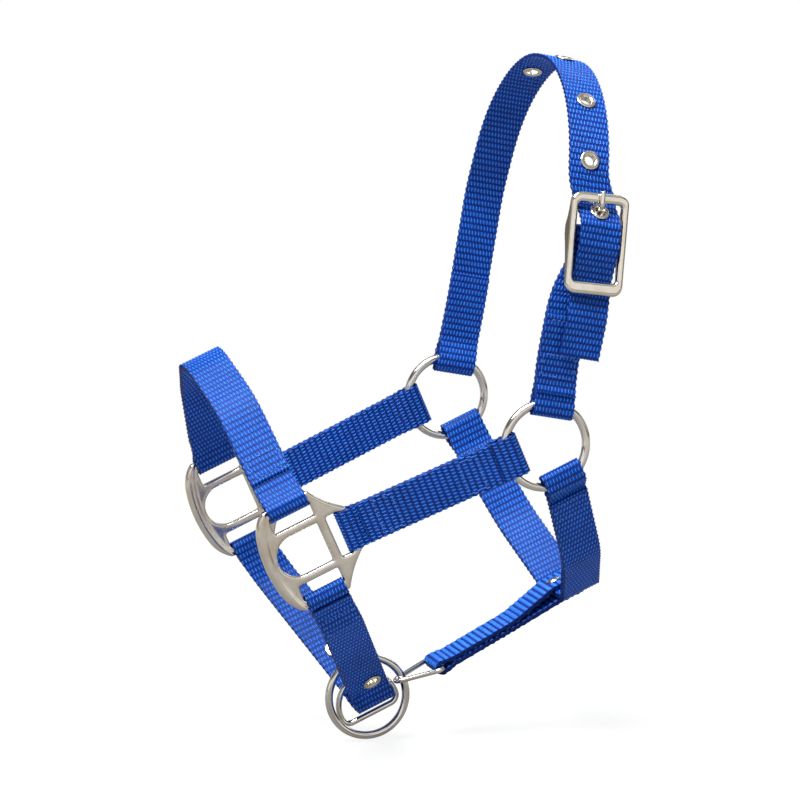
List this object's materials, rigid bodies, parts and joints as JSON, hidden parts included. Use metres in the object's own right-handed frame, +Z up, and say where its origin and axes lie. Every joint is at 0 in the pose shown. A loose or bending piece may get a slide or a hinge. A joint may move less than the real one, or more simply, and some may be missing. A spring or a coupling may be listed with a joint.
{
  "type": "head halter",
  "caption": "Webbing head halter: buckled crown strap over the poll, side rings, cheek straps, noseband, throat strap and chin strap with a lead ring.",
  "frame": {"origin": "underside of the crown strap at mid length, where it sits on the poll", "axes": "+X towards the nose, +Y to the animal's left (buckle side), +Z up"},
  "size_m": [0.2545, 0.218, 0.4151],
  "materials": {
    "webbing": "coarse woven webbing",
    "square_metal": "satin nickel plated casting",
    "buckle_metal": "nickel plated",
    "wire_metal": "polished nickel plated wire",
    "eyelet_metal": "nickel plated sheet"
  },
  "bodies": {
    "harness": {"noseband_liner": "webbing", "noseband_face": "webbing", "left_cheek_liner": "webbing", "left_cheek_face": "webbing", "right_cheek_liner": "webbing", "right_cheek_face": "webbing", "crown_strap": "webbing", "billet": "webbing", "billet_face": "webbing", "throat_liner": "webbing", "throat_face": "webbing", "connector": "webbing", "chin_liner": "webbing", "chin_face": "webbing", "left_square": "square_metal", "right_square": "square_metal", "buckle_frame": "buckle_metal", "crown_eyelet_1": "eyelet_metal", "crown_eyelet_2": "eyelet_metal", "crown_eyelet_3": "eyelet_metal", "crown_eyelet_4": "eyelet_metal", "crown_eyelet_5": "eyelet_metal", "chin_eyelet_left": "eyelet_metal", "chin_eyelet_right": "eyelet_metal", "throat_rivet": "eyelet_metal"},
    "left_ring_body": {"left_ring": "wire_metal"},
    "right_ring_body": {"right_ring": "wire_metal"},
    "chin_ring_body": {"chin_ring": "wire_metal"},
    "chin_dee_body": {"chin_dee": "wire_metal"},
    "chin_link_body": {"chin_link": "wire_metal"},
    "buckle_tongue_body": {"buckle_tongue": "buckle_metal"}
  },
  "joints": [
    {"name": "left_ring_spin", "type": "hinge", "parent": "harness", "child": "left_ring_body", "pos_m": [0.04209, 0.1005, -0.21655], "axis": [0, 1, 0], "continuous": true},
    {"name": "right_ring_spin", "type": "hinge", "parent": "harness", "child": "right_ring_body", "pos_m": [0.04209, -0.1005, -0.21655], "axis": [0, 1, 0], "continuous": true},
    {"name": "chin_ring_spin", "type": "hinge", "parent": "harness", "child": "chin_ring_body", "pos_m": [0.12207, 0, -0.38308], "axis": [0, 1, 0], "continuous": true},
    {"name": "chin_dee_swing", "type": "hinge", "parent": "harness", "child": "chin_dee_body", "pos_m": [0.12701, -0.005, -0.37395], "axis": [-0.9135, 0, 0.4067], "range_deg": [0, 7]},
    {"name": "chin_link_swing", "type": "hinge", "parent": "harness", "child": "chin_link_body", "pos_m": [0.07779, 0, -0.3656], "axis": [0, 1, 0], "range_deg": [-4, 4]},
    {"name": "buckle_tongue_pivot", "type": "hinge", "parent": "harness", "child": "buckle_tongue_body", "pos_m": [0.01223, 0.0985, -0.09226], "axis": [0.9914, 0, 0.1305], "range_deg": [-4, 0]}
  ]
}
